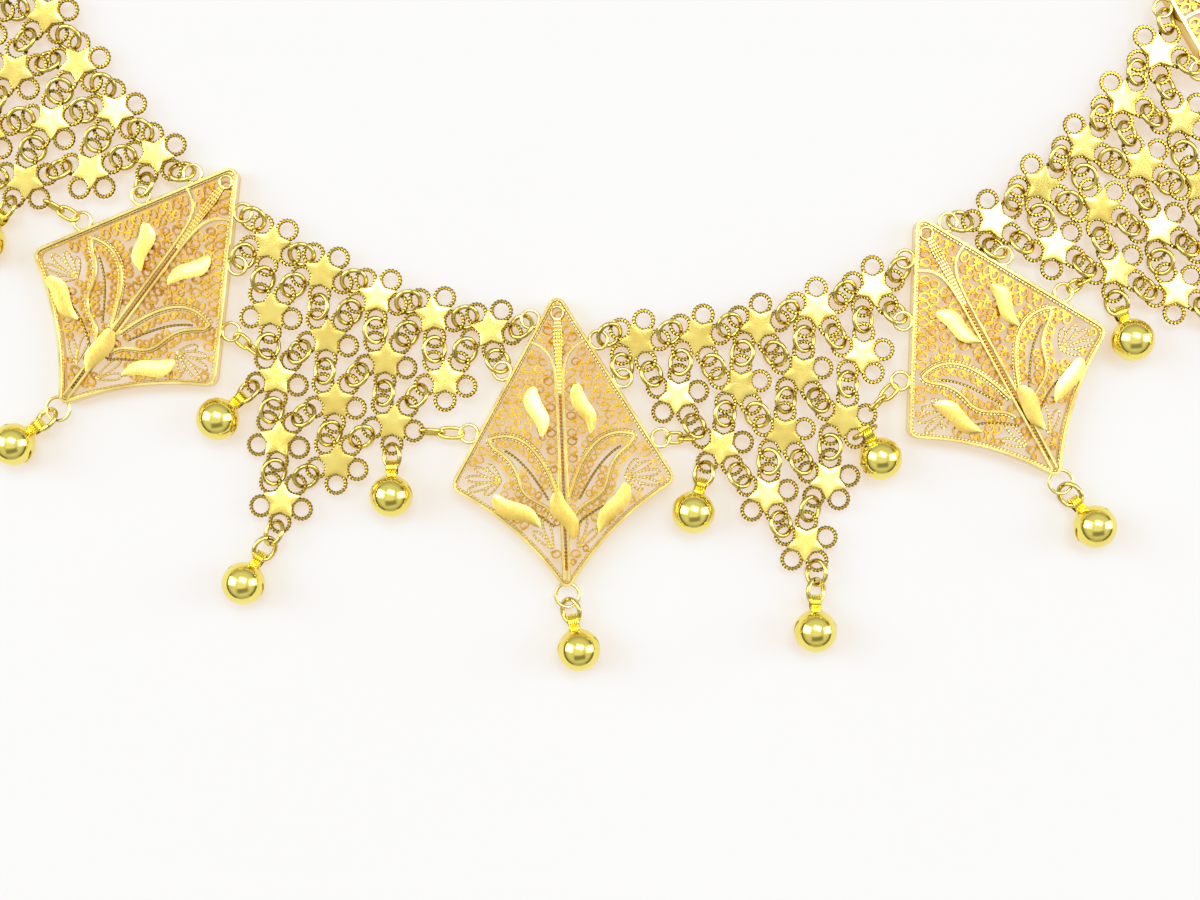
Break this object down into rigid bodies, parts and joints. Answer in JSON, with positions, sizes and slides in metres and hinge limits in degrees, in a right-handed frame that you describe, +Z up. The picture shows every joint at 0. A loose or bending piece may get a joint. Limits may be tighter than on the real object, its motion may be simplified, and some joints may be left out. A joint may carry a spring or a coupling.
{
  "type": "filigree collar necklace",
  "caption": "Collar necklace of kite-shaped filigree plaques joined by triangular meshes of star links, with hanging round bells and a plain chain closing behind the neck.",
  "frame": {"origin": "middle of the whole necklace's box at the level of the surface it lies on", "axes": "+X to the wearer's left as it lies, +Y towards the back of the neck, +Z up from the surface"},
  "size_m": [0.2244, 0.2042, 0.0053],
  "materials": {
    "filigree_gold": "soldered wire and sheet work, bright edges over a darker ground",
    "brushed_gold": "brushed and lightly hammered",
    "polished_gold": "mirror polished",
    "wire_gold": "drawn wire, polished"
  },
  "bodies": {
    "root": {"kite_1": "filigree_gold", "kite_2": "filigree_gold", "kite_3": "filigree_gold", "kite_4": "filigree_gold", "kite_5": "filigree_gold", "kite_bell_1": "polished_gold", "kite_bell_2": "polished_gold", "kite_bell_3": "polished_gold", "kite_bell_4": "polished_gold", "kite_bell_5": "polished_gold", "kite_ring_1": "wire_gold", "kite_ring_2": "wire_gold", "kite_ring_3": "wire_gold", "kite_ring_4": "wire_gold", "kite_ring_5": "wire_gold", "stars_1": "brushed_gold", "stars_2": "brushed_gold", "stars_3": "brushed_gold", "stars_4": "brushed_gold", "rings_1": "wire_gold", "rings_2": "wire_gold", "rings_3": "wire_gold", "rings_4": "wire_gold", "bell_1_left": "polished_gold", "bell_1_right": "polished_gold", "bell_1_tip": "polished_gold", "bell_2_left": "polished_gold", "bell_2_right": "polished_gold", "bell_2_tip": "polished_gold", "bell_3_left": "polished_gold", "bell_3_right": "polished_gold", "bell_3_tip": "polished_gold", "bell_4_left": "polished_gold", "bell_4_right": "polished_gold", "bell_4_tip": "polished_gold", "side_chain_1": "wire_gold", "side_chain_2": "wire_gold", "side_chain_3": "wire_gold", "side_chain_4": "wire_gold", "side_chain_5": "wire_gold", "side_chain_6": "wire_gold", "side_chain_7": "wire_gold", "side_chain_8": "wire_gold", "back_chain_left": "wire_gold", "back_chain_right": "wire_gold", "clasp": "polished_gold"}
  },
  "joints": []
}
